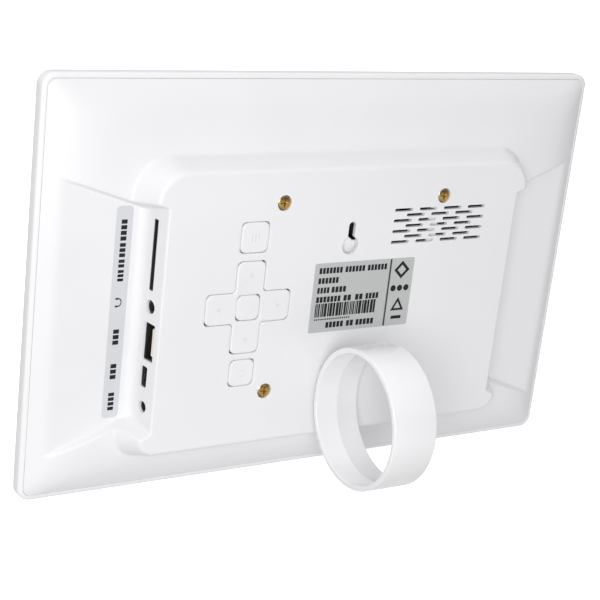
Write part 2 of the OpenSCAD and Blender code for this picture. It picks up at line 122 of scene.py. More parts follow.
def outline(x, v, half_x, half_v, radius, steps=8):
    """Rounded rectangle as a closed ring of (x, v) points."""
    radius = max(min(radius, half_x - 1e-3, half_v - 1e-3), 1e-3)
    ring = []
    for corner, (sx, sv) in enumerate(((1, 1), (-1, 1), (-1, -1), (1, -1))):
        for step in range(steps + 1):
            a = math.radians(90 * (corner + step / steps))
            ring.append((x + sx * (half_x - radius) + radius * math.cos(a),
                         v + sv * (half_v - radius) + radius * math.sin(a)))
    return ring


def circle(x, v, radius, steps=48):
    turn = 2 * math.pi / steps
    return [(x + radius * math.cos(i * turn), v + radius * math.sin(i * turn)) for i in range(steps)]


def rings_mesh(rings, closed=False):
    """Joins equal rings of 3-D points into a tube, closed on itself or capped."""
    count = len(rings[0])
    points = [p for ring in rings for p in ring]
    faces = []
    pairs = len(rings) if closed else len(rings) - 1
    for i in range(pairs):
        a, b = i * count, (i + 1) % len(rings) * count
        for k in range(count):
            m = (k + 1) % count
            faces.append((a + k, a + m, b + m, b + k))
    if not closed:
        faces.append(tuple(range(count - 1, -1, -1)))
        faces.append(tuple(len(points) - count + k for k in range(count)))
    return points, faces


def merge(*parts):
    """Joins (points, faces) pairs into one."""
    points, faces = [], []
    for part_points, part_faces in parts:
        base = len(points)
        points += list(part_points)
        faces += [tuple(base + i for i in face) for face in part_faces]
    return points, faces


def at_depth(ring, n):
    return [(x, n, v) for x, v in ring]


def soft_edge(grow, high, soft):
    """Levels of an edge rounded to a radius, with a flat ring inside it so that the face shades flat."""
    arc = [(grow - soft * (1 - math.cos(math.radians(a))), high - soft * (1 - math.sin(math.radians(a))))
           for a in (0, 22.5, 45, 67.5, 90)]
    return arc + [(grow - soft - 0.15, high)]


def prism(ring_of, levels):
    """Solid from outlines at several depths: ring_of(grow) gives an outline, levels are (grow, n)."""
    return rings_mesh([at_depth(ring_of(grow), n) for grow, n in levels])


def plate(x, v, half_x, half_v, radius, low, high, soft=0.0, steps=8, flare=0.0):
    """Rounded plate from depth low to high with a rounded far edge, or a flared one for a cutter."""
    def ring_of(grow):
        return outline(x, v, half_x + grow, half_v + grow, radius + grow, steps)
    if soft:
        levels = [(0, low)] + soft_edge(0, high, soft)
    elif flare:
        levels = [(0, low), (0, high - flare), (flare, high), (flare, high + 1)]
    else:
        levels = [(0, low), (0, high)]
    return prism(ring_of, levels)


def disc(x, v, profile, steps=48):
    """Solid of revolution about the panel's normal: profile is (radius, n) from low to high."""
    return rings_mesh([at_depth(circle(x, v, max(r, 1e-3), steps), n) for r, n in profile])


def sideways(part):
    """Turns a part drawn along N so that it runs along X: (x, n, v) becomes (n, x, v)."""
    points, faces = part
    return [(n, x, v) for x, n, v in points], [face[::-1] for face in faces]


def solid(name, part, smooth_angle=35):
    obj = new_object(name, *part, smooth_angle=smooth_angle)
    face_out(obj)
    return obj


def face_out(obj):
    """Turns a closed mesh's faces so that they all look outwards."""
    mesh = bmesh.new()
    mesh.from_mesh(obj.data)
    bmesh.ops.recalc_face_normals(mesh, faces=mesh.faces)
    mesh.to_mesh(obj.data)
    mesh.free()


def apply_modifiers(obj):
    bpy.context.view_layer.update()
    graph = bpy.context.evaluated_depsgraph_get()
    mesh = bpy.data.meshes.new_from_object(obj.evaluated_get(graph))
    obj.modifiers.clear()
    obj.data = mesh


def cut(obj, parts, smooth_angle=35):
    """Cuts closed parts out of a closed object."""
    for index, part in enumerate(parts):
        cutter = solid(f"{obj.name}_cutter_{index}", part)
        modifier = obj.modifiers.new("cut", "BOOLEAN")
        modifier.operation = "DIFFERENCE"
        modifier.solver = "MANIFOLD"
        modifier.object = cutter
        apply_modifiers(obj)
        bpy.data.objects.remove(cutter)
    shade(obj, smooth_angle)


def finish_piece(obj, body, material, replaces=()):
    obj.data.materials.clear()
    obj.data.materials.append(material)
    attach(obj, body)
    if replaces:
        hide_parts(*replaces)
    return obj


# ---------------------------------------------------------------------------
# Materials
# ---------------------------------------------------------------------------


def shader(name, color, roughness, metallic=0.0, coat=0.0, specular=0.5):
    material = bpy.data.materials.new(name)
    material.use_nodes = True
    base = material.node_tree.nodes["Principled BSDF"]
    base.inputs["Base Color"].default_value = (*color, 1)
    base.inputs["Roughness"].default_value = roughness
    base.inputs["Metallic"].default_value = metallic
    base.inputs["Coat Weight"].default_value = coat
    base.inputs["Specular IOR Level"].default_value = specular
    return material


def noise(material, scale, detail=2.0):
    """Noise on object coordinates: scale is in features per metre."""
    nodes = material.node_tree.nodes
    links = material.node_tree.links
    place = nodes.new("ShaderNodeTexCoord")
    texture = nodes.new("ShaderNodeTexNoise")
    texture.inputs["Scale"].default_value = scale
    texture.inputs["Detail"].default_value = detail
    links.new(place.outputs["Object"], texture.inputs["Vector"])
    return texture.outputs["Fac"]


def spread(material, value, low, high):
    """Maps a 0 to 1 value to low..high."""
    node = material.node_tree.nodes.new("ShaderNodeMapRange")
    node.inputs["To Min"].default_value = low
    node.inputs["To Max"].default_value = high
    material.node_tree.links.new(value, node.inputs["Value"])
    return node.outputs["Result"]


def vary_color(material, value, dark, light):
    tree = material.node_tree
    ramp = tree.nodes.new("ShaderNodeValToRGB")
    ramp.color_ramp.elements[0].position = 0.3
    ramp.color_ramp.elements[0].color = (*dark, 1)
    ramp.color_ramp.elements[1].position = 0.7
    ramp.color_ramp.elements[1].color = (*light, 1)
    tree.links.new(value, ramp.inputs["Fac"])
    tree.links.new(ramp.outputs["Color"], tree.nodes["Principled BSDF"].inputs["Base Color"])


def bump(material, value, height, strength):
    tree = material.node_tree
    node = tree.nodes.new("ShaderNodeBump")
    node.inputs["Strength"].default_value = strength
    node.inputs["Distance"].default_value = height
    tree.links.new(value, node.inputs["Height"])
    tree.links.new(node.outputs["Normal"], tree.nodes["Principled BSDF"].inputs["Normal"])


def vary_roughness(material, value, low, high):
    tree = material.node_tree
    tree.links.new(spread(material, value, low, high), tree.nodes["Principled BSDF"].inputs["Roughness"])


def moulded(name, color, roughness, grain=1600, coat=0.0):
    """Injection-moulded plastic: faint colour drift, fine grain and uneven gloss."""
    material = shader(name, color, roughness, coat=coat)
    drift = noise(material, 22)
    vary_color(material, drift, tuple(0.985 * c for c in color), tuple(min(1.0, 1.012 * c) for c in color))
    fine = noise(material, grain, 3.0)
    vary_roughness(material, noise(material, 90), roughness - 0.05, roughness + 0.06)
    bump(material, fine, 0.00002, 0.35)
    return material


def metal(name, color, roughness):
    grain = 2500
    material = shader(name, color, roughness, metallic=1.0)
    vary_color(material, noise(material, 260), tuple(0.82 * c for c in color), color)
    vary_roughness(material, noise(material, grain, 3.0), roughness - 0.08, roughness + 0.12)
    bump(material, noise(material, grain, 2.0), 0.00001, 0.3)
    return material


WHITE = (0.835, 0.833, 0.852)
cover_white = moulded("cover_white", WHITE, 0.42)
# Lighter copy of the cover white for the keyhole pocket: painted light in a hollow that lies in shade.
pocket_white_painted_light = moulded("pocket_white_painted_light", (0.94, 0.94, 0.95), 0.5)
bezel_white = moulded("bezel_white", (0.86, 0.86, 0.87), 0.34, coat=0.2)
ring_white = moulded("ring_white", (0.85, 0.848, 0.862), 0.2, coat=0.3)
key_white = moulded("key_white", (0.84, 0.84, 0.855), 0.38)
brass = metal("yellow_zinc", (0.57, 0.385, 0.15), 0.24)
gilt = metal("contact_gilt", (0.75, 0.55, 0.25), 0.25)
steel = metal("zinc_steel", (0.62, 0.63, 0.65), 0.32)
sheet_steel = metal("sheet_steel", (0.55, 0.56, 0.58), 0.38)
nickel = metal("nickel", (0.70, 0.69, 0.67), 0.25)
# Near-black copy of the socket metal for the full-size socket: painted shade inside its opening, not the
# socket's own nickel colour.
painted_shade_metal = metal("painted_shade_metal", (0.06, 0.06, 0.055), 0.5)
alloy = metal("alloy_sheet", (0.72, 0.73, 0.75), 0.35)
# Black plastic of sockets, chips and jacks; the same material also colours the sleeves of painted shade
# inside the port openings.
black_plastic_and_painted_shade = moulded("black_plastic_and_painted_shade", (0.02, 0.02, 0.022), 0.45)
ivory = moulded("ivory_plastic", (0.88, 0.82, 0.68), 0.45)
board_green = moulded("solder_mask", (0.015, 0.12, 0.05), 0.3)
ferrite = moulded("ferrite", (0.09, 0.09, 0.095), 0.6)
foam = moulded("foam", (0.015, 0.015, 0.016), 0.9)
paper_cone = moulded("cone_paper", (0.03, 0.03, 0.03), 0.85)
film = moulded("ribbon_film", (0.55, 0.28, 0.08), 0.35)
insulation = moulded("wire_insulation", (0.45, 0.02, 0.015), 0.4)
label_silver = moulded("label_silver", (0.51, 0.515, 0.515), 0.35, grain=900)
label_pale = moulded("label_pale", (0.65, 0.66, 0.69), 0.45)
print_ink = moulded("print_ink", (0.008, 0.008, 0.009), 0.8)
print_gray = moulded("print_gray", (0.05, 0.05, 0.052), 0.8)
key_sign = moulded("key_sign", (0.77, 0.77, 0.785), 0.4)
screen = moulded("screen_glass", (0.006, 0.007, 0.009), 0.06, coat=0.5)
guide = moulded("light_guide", (0.75, 0.8, 0.85), 0.2)

CAD_MATERIALS = {
    "lcd_glass": screen, "light_guide": guide, "lcd_tray": alloy, "lcd_straps": sheet_steel,
    "strap_screws": steel, "case_standoffs": brass, "case_screws": brass, "rear_cover": cover_white,
    "front_bezel": bezel_white, "main_board": board_green, "board_screws": steel,
    "main_processor": black_plastic_and_painted_shade, "memory_chips": black_plastic_and_painted_shade, "power_coil": ferrite,
    "capacitors": alloy, "ribbon_connector": ivory, "lcd_ribbon": film, "card_socket": black_plastic_and_painted_shade,
    "headphone_jack": black_plastic_and_painted_shade, "usb_socket": painted_shade_metal, "usb_tongue": ivory,
    "mini_usb_socket": nickel, "mini_usb_tongue": black_plastic_and_painted_shade, "dc_jack": black_plastic_and_painted_shade,
    "dc_pin": nickel, "speaker_basket": black_plastic_and_painted_shade, "speaker_cone": paper_cone,
    "speaker_magnet": ferrite, "speaker_gasket": foam, "speaker_wires": insulation,
    "key_board": board_green, "key_board_screws": steel, "key_ribbon": film, "tact_switches": nickel,
    "menu_key": key_white, "arrow_key": key_white, "arrow_gimbal": sheet_steel, "ok_key": key_white,
    "exit_key": key_white, "rating_label": label_silver, "port_label": label_pale,
    "stand_ring": ring_white, "swivel_wave_washer": steel, "swivel_washer": steel,
    "swivel_screw": steel}
for node, material in CAD_MATERIALS.items():
    for slot in frame["nodes"][node].material_slots:
        slot.material = material

# ---------------------------------------------------------------------------
# Camera: metres and degrees, chosen so that the outline matches the reference picture
# ---------------------------------------------------------------------------

CAMERA_PLACE = Vector((0.35419, 0.52027, 0.16005))
CAMERA_AZIMUTH = 147.648
CAMERA_ELEVATION = 7.713
CAMERA_ROLL = -0.08
CAMERA_LENS = 93.1

camera_data = bpy.data.cameras.new("camera")
camera_data.lens = CAMERA_LENS
camera_data.sensor_width = 36
camera_data.clip_start = 0.01
camera = bpy.data.objects.new("camera", camera_data)
bpy.context.scene.collection.objects.link(camera)
azimuth = math.radians(CAMERA_AZIMUTH)
camera.matrix_world = (Matrix.Translation(CAMERA_PLACE)
                       @ Matrix.Rotation(azimuth, 4, "Z")
                       @ Matrix.Rotation(math.radians(90 - CAMERA_ELEVATION), 4, "X")
                       @ Matrix.Rotation(math.radians(CAMERA_ROLL), 4, "Z"))
bpy.context.scene.camera = camera

# ---------------------------------------------------------------------------
# Rear cover: one moulded shell. Its outer face is the place along N where the
# distance to the shape is zero, so every edge and corner gets a true radius.
# ---------------------------------------------------------------------------

BODY_HALF = 89.0
BODY_LOW = 21.3
BODY_HIGH = 136.0
BODY_TOP_CORNER, BODY_LOW_CORNER = 12, 7
SIDE_REACH, TOP_REACH = 40, 30
RECESS_HALF = 84.5
PORT_DRAFT = math.radians(9.5)
SIDE_DRAFT = math.radians(26)
TOP_DRAFT = math.radians(20)
FOLD_DRAFT = math.radians(16)
LOW_FOLD = (88.0, 32.4, math.radians(21.5))
HIGH_FOLD = (88.0, 120.3, math.radians(19.3))
FOLD_DEPTH = 13.0


def both_of(a, b, radius):
    """Common part of two shapes, its edge rounded."""
    u = np.maximum(radius + a, 0)
    w = np.maximum(radius + b, 0)
    return np.minimum(-radius, np.maximum(a, b)) + np.hypot(u, w)


def either_of(a, b, radius):
    """Union of two shapes, its inner corner filled to a radius."""
    return -both_of(-a, -b, radius)


def border(distance, reach):
    """Height of the domed border at a distance from the seam."""
    t = np.clip(distance / reach, 0, 1)
    return RIM + (SHELF - RIM) * (1 - (1 - t) ** 3)


def body_distance(x, n, v):
    drop = BACK - n
    half = BODY_HALF + drop * math.tan(SIDE_DRAFT)
    low = BODY_LOW - drop * math.tan(TOP_DRAFT)
    high = BODY_HIGH + drop * math.tan(TOP_DRAFT)
    center = (low + high) / 2
    radius = np.where(v > center, BODY_TOP_CORNER, BODY_LOW_CORNER) + 0.3 * drop
    dx = np.abs(x) - (half - radius)
    dv = np.abs(v - center) - ((high - low) / 2 - radius)
    outside = np.hypot(np.maximum(dx, 0), np.maximum(dv, 0))
    return (outside + np.minimum(np.maximum(dx, dv), 0) - radius) * math.cos(TOP_DRAFT)


def fold_distance(x, n, v, fold, side):
    """Distance under the slanted plane that bounds a recess, positive outside the recess."""
    fold_x, fold_v, tilt = fold
    level = (v - fold_v) * side + (x - fold_x) * math.tan(tilt)
    return -(level * math.cos(tilt) * math.cos(FOLD_DRAFT) + (n - FOLD_DEPTH) * math.sin(FOLD_DRAFT))


def recess_distance(x, n, v):
    wall = -(x - RECESS_HALF - (BACK - n) * math.tan(PORT_DRAFT)) * math.cos(PORT_DRAFT)
    floor = RECESS_FLOOR - n
    pocket = both_of(wall, floor, 3.5)
    folds = both_of(fold_distance(x, n, v, LOW_FOLD, 1), fold_distance(x, n, v, HIGH_FOLD, -1), 0.5)
    return both_of(pocket, folds, 0.6)


def cover_distance(x, n, v):
    x = np.abs(x)
    side = (n - border(SEAM_HALF - x, SIDE_REACH)) * 0.92
    top = (n - border(np.minimum(v - SEAM, HEIGHT - SEAM - v), TOP_REACH)) * 0.9
    dome = both_of(side, top, 2.5)
    body = both_of(body_distance(x, n, v), n - BACK, 1.1)
    shape = either_of(dome, body, 0.8)
    return both_of(shape, -recess_distance(x, n, v), 0.7)


def surface(x, v, inside):
    """Depth at which the cover's distance is -inside, found by halving."""
    low = np.full(x.shape, 0.0)
    high = np.full(x.shape, BACK + 1.0)
    for _ in range(26):
        mid = (low + high) / 2
        out = cover_distance(x, mid, v) > -inside
        high = np.where(out, mid, high)
        low = np.where(out, low, mid)
    return (low + high) / 2


def spaced(stops):
    """Positions along an axis: stops are (start, spacing), the last one the end."""
    places = []
    for (start, step), (end, _) in zip(stops, stops[1:]):
        count = max(1, round((end - start) / step))
        places += [start + (end - start) * i / count for i in range(count)]
    return np.array(places + [stops[-1][0]])


def round_corners(x, v, half_x, low, high, radius):
    """Pulls the grid's four corners in to a radius."""
    center = (low + high) / 2
    px = (np.abs(x) - (half_x - radius)) / radius
    pv = (np.abs(v - center) - ((high - low) / 2 - radius)) / radius
    corner = (px > 0) & (pv > 0)
    nx = np.where(corner, px * np.sqrt(np.maximum(1 - pv ** 2 / 2, 0)), px)
    nv = np.where(corner, pv * np.sqrt(np.maximum(1 - px ** 2 / 2, 0)), pv)
    x = np.where(corner, np.sign(x) * (half_x - radius + nx * radius), x)
    v = np.where(corner, center + np.sign(v - center) * ((high - low) / 2 - radius + nv * radius), v)
    return x, v


def cover_shell():
    right = spaced([(0, 2.0), (80, 0.6), (83.5, 0.16), (88.5, 0.3), (94, 0.45), (123, 0.9),
                    (SEAM_HALF, 0)])
    x_places = np.concatenate([-right[:0:-1], right])
    v_places = spaced([(SEAM, 0.7), (12, 0.5), (17, 0.4), (38, 2.0), (114, 0.4), (145, 0.9),
                       (HEIGHT - SEAM, 0)])
    sheets = []
    for inset in (0.0, WALL):
        scale_x = (SEAM_HALF - inset) / SEAM_HALF
        x, v = np.meshgrid(x_places * scale_x, v_places)
        center = HEIGHT / 2
        v = center + (v - center) * ((center - SEAM - inset) / (center - SEAM))
        corner = max(BEZEL_CORNER - SEAM - inset, 1.2)
        x, v = round_corners(x, v, SEAM_HALF - inset, SEAM + inset, HEIGHT - SEAM - inset, corner)
        n = surface(x, v, inset) if inset else np.maximum(surface(x, v, 0), RIM)
        sheets.append(np.stack([x, n, v], -1))
    rows, columns = sheets[0].shape[:2]
    points = np.concatenate([sheet.reshape(-1, 3) for sheet in sheets])
    faces = []
    size = rows * columns
    for layer in (0, 1):
        for row in range(rows - 1):
            for column in range(columns - 1):
                a = layer * size + row * columns + column
                quad = (a, a + 1, a + columns + 1, a + columns)
                faces.append(quad if layer else quad[::-1])
    edge = ([column for column in range(columns)]
            + [row * columns + columns - 1 for row in range(1, rows)]
            + [(rows - 1) * columns + column for column in range(columns - 2, -1, -1)]
            + [row * columns for row in range(rows - 2, 0, -1)])
    skirt_n = 3.0
    skirt = [tuple((points[i][0], skirt_n, points[i][2])) for i in edge]
    inner_skirt = [tuple((points[size + i][0], skirt_n, points[size + i][2])) for i in edge]
    base = len(points)
    points = list(map(tuple, points)) + skirt + inner_skirt
    count = len(edge)
    for k in range(count):
        m = (k + 1) % count
        faces.append((edge[k], edge[m], base + m, base + k))
        faces.append((base + k, base + m, base + count + m, base + count + k))
        faces.append((base + count + k, base + count + m, size + edge[m], size + edge[k]))
    return points, faces


SCREW_PLACES = [(33.8, 122.7), (-44.8, 122.7), (33.8, 43.4)]
KEY_GAP = 0.2
KEY_TOP = span("menu_key")[1][1]
MENU = (middle("menu_key")[0], middle("menu_key")[2])
EXIT = (middle("exit_key")[0], middle("exit_key")[2])
OK = (middle("ok_key")[0], middle("ok_key")[2])
MENU_HOLE, EXIT_HOLE, OK_HOLE = 12.8, 11.5, 10.9
ARROW_SPAN, ARROW_ARM = 38.8, 13.2
HOLE_ROUND = 1.8
KEY_ROUND = 3.0
CROOK = 1.5
KEY_SOFT = 0.6
STEM_R, STEM_OUT = 1.2, 14
GRILLE = (-43.8, 110.5)
SLOT_LENGTH, SLOT_WIDTH, SLOT_PITCH, ROW_PITCH = 9.3, 1.3, 12.65, 2.3
HOOK_V, HOOK_R = 103.5, 3.9
HOOK_SLOT_R, HOOK_SLOT_V = 1.7, 111.7
HOOK_SHELF = 20.4
POCKET_HALF, POCKET_WALL = 5.2, 1.2
RIB_X, RIB_HALF = -42.2, 2.3
INNER = BACK - WALL
SCREW_SEAT = INNER - 0.1


def grille_slots():
    for row in range(7):
        shift = 0.5 * (row % 2)
        for i in range(4 - row % 2):
            yield GRILLE[0] + (i - 1.5 + shift) * SLOT_PITCH, GRILLE[1] + (3 - row) * ROW_PITCH


def cross_ring(grow, corner=HOLE_ROUND):
    """Outline of the four-way key: a plus with rounded outer corners."""
    long, arm, r = ARROW_SPAN / 2 + grow, ARROW_ARM / 2 + grow, max(corner + grow, 0.3)
    ring = []
    for quarter in range(4):
        turn = math.radians(90 * quarter)
        spots = []
        for corner_v, start in ((-arm + r, -90), (arm - r, 0)):
            for step in range(7):
                a = math.radians(start + 90 * step / 6)
                spots.append((long - r + r * math.cos(a), corner_v + r * math.sin(a)))
        for step in range(5):
            a = math.radians(270 - 90 * step / 4)
            spots.append((arm + CROOK * (1 + math.cos(a)), arm + CROOK * (1 + math.sin(a))))
        for px, pv in spots:
            ring.append((OK[0] + px * math.cos(turn) - pv * math.sin(turn),
                         OK[1] + px * math.sin(turn) + pv * math.cos(turn)))
    return ring


def square_ring(place, hole, grow):
    return outline(*place, hole / 2 + grow, hole / 2 + grow, HOLE_ROUND + grow)


def rounded_rim(high, radius):
    """Levels of a cutter that leaves a rounded edge round its hole."""
    arc = [(radius * (1 - math.cos(math.radians(a))), high - radius * (1 - math.sin(math.radians(a))))
           for a in (0, 30, 60, 90)]
    return arc + [(radius + 0.02, high + 1)]


def cover_cutters():
    low, high = INNER - 2, BACK
    rim = [(0, low)] + rounded_rim(high, 0.3)
    openings = [
        prism(lambda grow: square_ring(MENU, MENU_HOLE, grow), rim),
        prism(lambda grow: square_ring(EXIT, EXIT_HOLE, grow), rim),
        prism(cross_ring, rim)]
    half_slot = SLOT_WIDTH / 2
    openings += [plate(x, v, SLOT_LENGTH / 2, half_slot, half_slot, low, high, steps=5, flare=0.08)
                 for x, v in grille_slots()]
    shank_r, head_r, rim_r = 1.7, 3.2, 3.35
    for x, v in SCREW_PLACES:
        openings.append(disc(x, v, [(shank_r, low - 1), (shank_r, SCREW_SEAT), (head_r, SCREW_SEAT),
                                    (head_r, high - 0.15), (rim_r, high), (rim_r, high + 1)]))
    bore_r, bore_rim_r = 6.05, 6.3
    openings.append(disc(0, SWIVEL.z, [(bore_r, low), (bore_r, high - 0.2), (bore_rim_r, high),
                                       (bore_rim_r, high + 1)]))
    return openings


def keyhole_cutter():
    """Round hole with a slot rising from it, as one outline."""
    def ring_of(grow):
        big, small = HOOK_R + grow, HOOK_SLOT_R + grow
        start = math.asin(small / big)
        ring = []
        for step in range(41):
            a = math.pi / 2 + start + (2 * math.pi - 2 * start) * step / 40
            ring.append((big * math.cos(a), HOOK_V + big * math.sin(a)))
        for step in range(13):
            a = math.pi * step / 12
            ring.append((small * math.cos(a), HOOK_SLOT_V + small * math.sin(a)))
        return ring
    return prism(ring_of, [(0, INNER - 2), (0, BACK - 0.25), (0.25, BACK), (0.25, BACK + 1)])


# Openings in the port wall: socket, depth N, half size along N, half size along V, corner radius,
# and how far inside the wall the black sleeve of painted shade starts. Round ones: socket, depth N, radius,
# start.
PORTS = [
    ("card_socket", 17.0, 1.3, 14.3, 0.5, 0.2),
    ("usb_socket", middle("usb_socket")[1], 3.3, 7.7, 0.5, 0.9),
    ("mini_usb_socket", middle("mini_usb_socket")[1], 2.1, 4.4, 0.8, 0.8)]
ROUND_PORTS = [("headphone_jack", 17.5, 2.8, 1.2), ("dc_jack", 17.6, 2.4, 1.2)]
MOUTH_WALL = 0.45
MOUTH_END = 1.9


def port_cutters():
    """Openings in the port wall, cut along X."""
    low, high = RECESS_HALF - 4, RECESS_HALF + 6
    cutters = [sideways(plate(n, middle(node)[2], half_n, half_v, radius, low, high))
               for node, n, half_n, half_v, radius, _ in PORTS]
    cutters += [sideways(disc(n, middle(node)[2], [(radius, low), (radius, high)]))
                for node, n, radius, _ in ROUND_PORTS]
    return cutters


def wall_x(n):
    """Place of the slanted port wall across the frame, at a depth."""
    return RECESS_HALF + (BACK - n) * math.tan(PORT_DRAFT)


def build_port_shade():
    """Black sleeves a little way into the wall round each socket opening: painted shade that makes the
    openings dark.
    """
    mouths = PORTS + [(node, n, radius, radius, radius - 0.01, start)
                      for node, n, radius, start in ROUND_PORTS]
    parts = []
    for node, n, half_n, half_v, radius, start in mouths:
        rings = []
        for thick, sink in ((0.01, MOUTH_END), (0.01, start), (MOUTH_WALL, start), (MOUTH_WALL, MOUTH_END)):
            ring = outline(n, middle(node)[2], half_n - thick, half_v - thick, radius - thick)
            rings.append([(wall_x(depth) - sink, depth, v) for depth, v in ring])
        parts.append(rings_mesh(rings, closed=True))
    # The sleeves are painted shade: black bands standing in for the dark inside the openings.
    finish_piece(solid("port_painted_shade", merge(*parts)), "frame", black_plastic_and_painted_shade)


def hook_pocket():
    """White box behind the keyhole, painted lighter than the cover as painted light in its shaded hollow;
    its shelf is open above and on one side, where the hook slides up.
    """
    inner, outer = POCKET_HALF, POCKET_HALF + POCKET_WALL
    floor, roof = HOOK_V - POCKET_HALF, HOOK_SLOT_V + 2.2
    bottom, lid = floor - POCKET_WALL, roof + POCKET_WALL
    shelf_low, shelf_high = HOOK_V + 0.9, HOOK_V + 3.7
    shelf = [(outer, HOOK_V - outer), (outer, shelf_high), (0.4, shelf_high), (-3.2, shelf_low),
             (-outer, shelf_low), (-outer, HOOK_V - outer)]
    parts = [rings_mesh([at_depth(shelf, HOOK_SHELF - POCKET_WALL), at_depth(shelf, HOOK_SHELF)])]
    walls = ((-outer, -inner, bottom, lid), (inner, outer, bottom, lid),
             (-inner, inner, bottom, floor), (-inner, inner, roof, lid))
    for x0, x1, v0, v1 in walls:
        parts.append(plate((x0 + x1) / 2, (v0 + v1) / 2, (x1 - x0) / 2, (v1 - v0) / 2, 0.1,
                           HOOK_SHELF, INNER - 0.01, steps=2))
    return merge(*parts)


def build_cover():
    cover = new_object("rear_cover_shell", *cover_shell())
    face_out(cover)
    cut(cover, [merge(*cover_cutters()), keyhole_cutter(), merge(*port_cutters())], 30)
    finish_piece(cover, "frame", cover_white, ["rear_cover"])
    pocket = solid("hook_pocket", hook_pocket())
    finish_piece(pocket, "frame", pocket_white_painted_light)
    rib = solid("grille_rib", merge(*[plate(RIB_X, v, RIB_HALF, half_v, 0.3, INNER - 1, INNER, steps=2)
                                      for v, half_v in ((106.8, 7.6), (118.0, 0.9))]))
    finish_piece(rib, "frame", cover_white)


# ---------------------------------------------------------------------------
# Bezel
# ---------------------------------------------------------------------------

WINDOW_HALF_X, WINDOW_HALF_V = 111.5, 62.75
WINDOW_CORNER = 0.6


def build_bezel():
    """Swept round the frame: rounded outer edge, flat face, bevelled window, hollow back."""
    mid_v = HEIGHT / 2
    edge, rear_edge = 1.3, 2.0
    rings = []

    def ring(inset, n):
        rings.append(at_depth(outline(0, mid_v, HALF_W - inset, mid_v - inset, BEZEL_CORNER - inset, 12), n))

    def window(grow, n):
        rings.append(at_depth(
            outline(0, mid_v, WINDOW_HALF_X + grow, WINDOW_HALF_V + grow, WINDOW_CORNER + grow, 12), n))

    inner = SEAM - 0.1
    window(0, WALL)
    window(0, 0.7)
    window(0.2, 0.25)
    window(0.7, 0)
    for step in range(7):
        a = math.radians(15 * step)
        ring(edge * (1 - math.sin(a)), edge * (1 - math.cos(a)))
    for step in range(7):
        a = math.radians(15 * step)
        ring(rear_edge * (1 - math.cos(a)), RIM - edge * (1 - math.sin(a)))
    ring(inner, RIM - 0.1)
    ring(inner, WALL)
    bezel = solid("bezel", rings_mesh(rings, closed=True), 30)
    finish_piece(bezel, "frame", bezel_white, ["front_bezel"])


# ---------------------------------------------------------------------------
# Ring stand
# ---------------------------------------------------------------------------

RING_LOW, RING_HIGH = span("stand_ring")
RING_HALF = RING_HIGH[0]
RING_R = (RING_HIGH[2] - RING_LOW[2]) / 2
RING_WALL = 2.2
RING_N = RING_HIGH[1] - RING_R
RING_V = SWIVEL.z


def build_ring():
    """Turned section with soft edges and the fine parting line of the mould inside."""
    outer, inner, half = RING_R, RING_R - RING_WALL, RING_HALF
    soft = 0.55
    section = []
    for center_r, center_x, start in ((outer - soft, half - soft, 0), (inner + soft, half - soft, 90),
                                      (inner + soft, soft - half, 180), (outer - soft, soft - half, 270)):
        for step in range(6):
            a = math.radians(start + 90 * step / 5)
            section.append((center_r + soft * math.cos(a), center_x + soft * math.sin(a)))
        if start == 90:
            section += [(inner, 0.5), (inner - 0.09, 0.25), (inner - 0.09, -0.25), (inner, -0.5)]
    steps = 160
    rings = []
    for i in range(steps):
        a = 2 * math.pi * i / steps
        rings.append([(x, RING_N + r * math.cos(a), RING_V + r * math.sin(a)) for r, x in section])
    band = rings_mesh(rings, closed=True)
    tangent = RING_N - RING_R
    spindle_r, pad_r = 6.0, 7.6
    pad = disc(0, RING_V, [(spindle_r, 19.6), (spindle_r, BACK + 0.3), (pad_r - 0.4, BACK + 0.3),
                           (pad_r, BACK + 0.7), (pad_r, tangent + 1.3)])
    inside = tangent + RING_WALL
    boss = disc(0, RING_V, [(0.9, tangent + 1.0), (0.9, inside + 0.2), (0.6, inside + 0.3)])
    ring = solid("ring_band", band, 30)
    finish_piece(ring, "stand", ring_white, ["stand_ring"])
    pad = solid("ring_pad", merge(pad, boss), 30)
    finish_piece(pad, "stand", ring_white)


# ---------------------------------------------------------------------------
# Keys
# ---------------------------------------------------------------------------


def square_key(name, place, hole, body, node):
    """Cap with a flange under the cover and a stem down to its switch."""
    low, high = span(node)
    half = hole / 2 - KEY_GAP
    radius = KEY_ROUND - KEY_GAP
    flange = plate(*place, half + KEY_GAP + 0.8, half + KEY_GAP + 0.8, radius, 20.9, INNER - 0.3)
    cap = plate(*place, half, half, radius, 21.5, high[1], soft=KEY_SOFT)
    stem = disc(*place, [(STEM_R, low[1]), (STEM_R, 21.2)], 24)
    key = solid(name, merge(flange, cap, stem), 40)
    finish_piece(key, body, key_white, [node])


def build_middle_key():
    low, high = span("ok_key")
    half = (high[0] - low[0]) / 2
    cap_half = OK_HOLE / 2 - KEY_GAP
    cap = plate(*OK, cap_half, cap_half, KEY_ROUND - KEY_GAP, 19.4, KEY_TOP, soft=KEY_SOFT)
    flange = plate(*OK, half, half, 1.5, 19.0, 19.8)
    stem = disc(*OK, [(STEM_R, low[1]), (STEM_R, 19.2)], 24)
    key = solid("ok_cap", merge(cap, flange, stem), 40)
    finish_piece(key, "ok_key", key_white, ["ok_key"])


